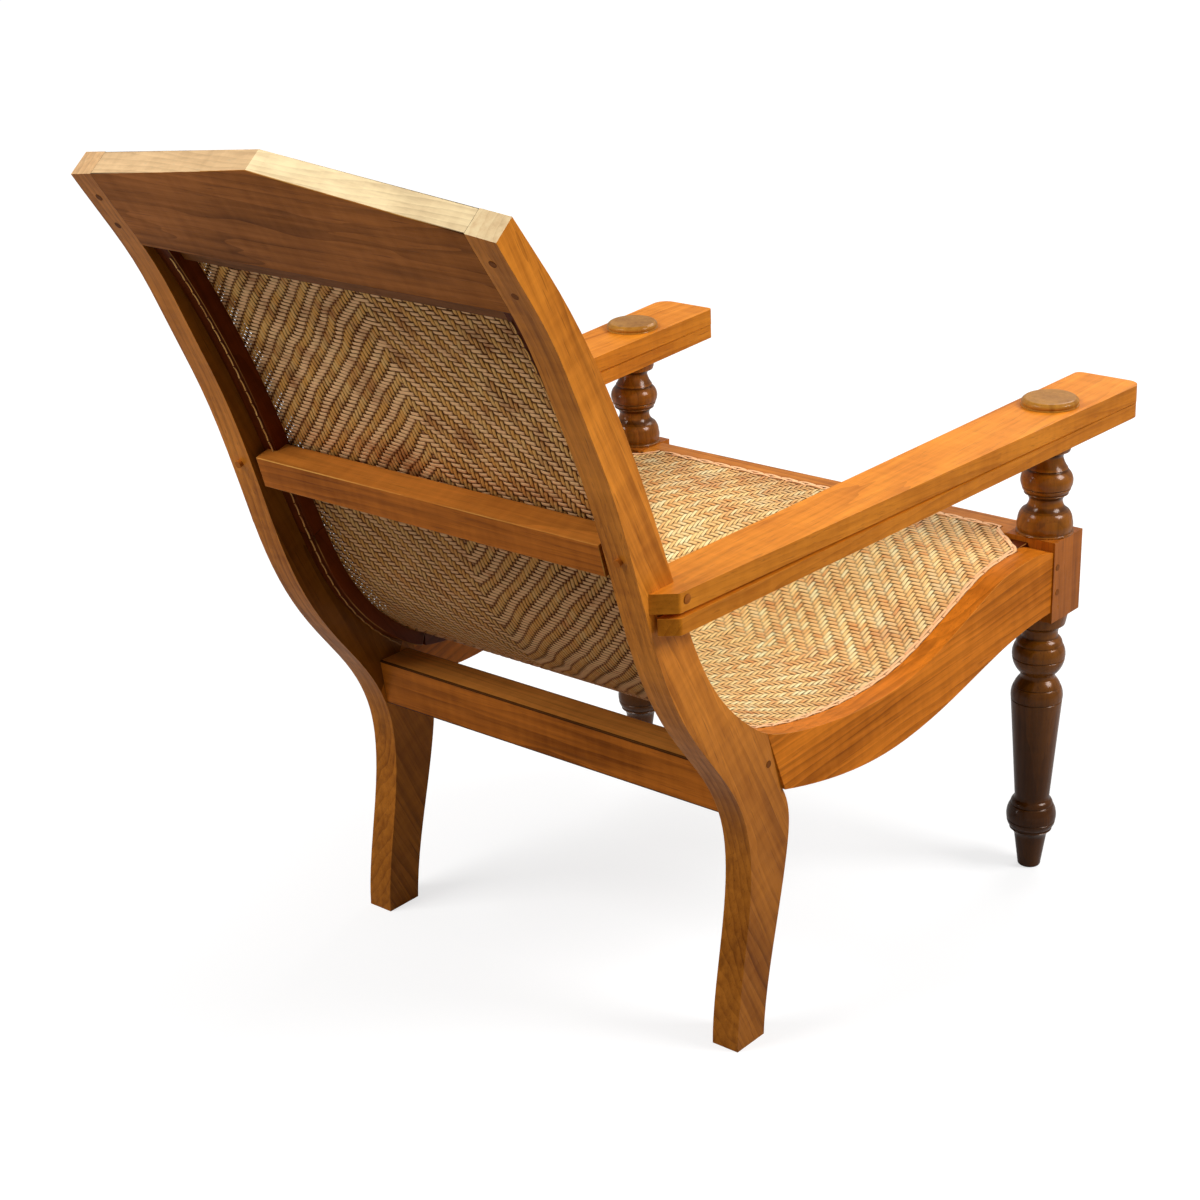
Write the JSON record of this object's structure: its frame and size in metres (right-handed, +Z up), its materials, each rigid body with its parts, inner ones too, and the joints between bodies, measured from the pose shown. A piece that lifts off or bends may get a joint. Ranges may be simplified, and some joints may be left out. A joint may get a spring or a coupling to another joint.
{
  "type": "planters chair",
  "caption": "Low reclining armchair with an S-curved frame, one woven cane seat and back, turned front legs and leg rests that swing out from under the arms.",
  "frame": {"origin": "on the floor, under the middle of the chair's outline", "axes": "+Z up; +X towards the sitter's left; the sitter looks along -Y"},
  "size_m": [0.7262, 1.0668, 1.0116],
  "materials": {
    "frame_wood": "oiled, satin",
    "arm_wood": "oiled, satin",
    "ledge_wood": "plain, dull",
    "turned_wood": "polished",
    "peg_wood": "end grain",
    "cane": "woven, lacquered"
  },
  "bodies": {
    "frame": {"back_post_left": "frame_wood", "back_post_right": "frame_wood", "crest_rail": "frame_wood", "middle_back_rail": "frame_wood", "rear_stretcher": "frame_wood", "side_rail_left": "frame_wood", "side_rail_right": "frame_wood", "front_rail": "frame_wood", "fixed_arm_left": "arm_wood", "fixed_arm_right": "arm_wood", "crest_ledge": "ledge_wood", "upper_ledge_left": "ledge_wood", "upper_ledge_right": "ledge_wood", "lower_ledge_left": "ledge_wood", "lower_ledge_right": "ledge_wood", "seat_ledge_left": "ledge_wood", "seat_ledge_right": "ledge_wood", "corner_brace_left": "ledge_wood", "corner_brace_right": "ledge_wood", "front_leg_left": "turned_wood", "front_leg_right": "turned_wood", "pivot_pin_left": "turned_wood", "pivot_pin_right": "turned_wood", "crest_pegs": "peg_wood", "middle_rail_pegs": "peg_wood", "seat_rail_pegs": "peg_wood", "leg_block_pegs": "peg_wood", "arm_dowels": "peg_wood", "cane_panel": "cane"},
    "leg_rest_left": {"swing_arm_left": "arm_wood"},
    "leg_rest_right": {"swing_arm_right": "arm_wood"}
  },
  "joints": [
    {"name": "leg_rest_right_swing", "type": "hinge", "parent": "frame", "child": "leg_rest_right", "pos_m": [-0.312, -0.403, 0.579], "axis": [0, 0.0346, 0.9994], "range_deg": [0, 180]},
    {"name": "leg_rest_left_swing", "type": "hinge", "parent": "frame", "child": "leg_rest_left", "pos_m": [0.312, -0.403, 0.579], "axis": [0, -0.0346, -0.9994], "range_deg": [0, 180]}
  ]
}
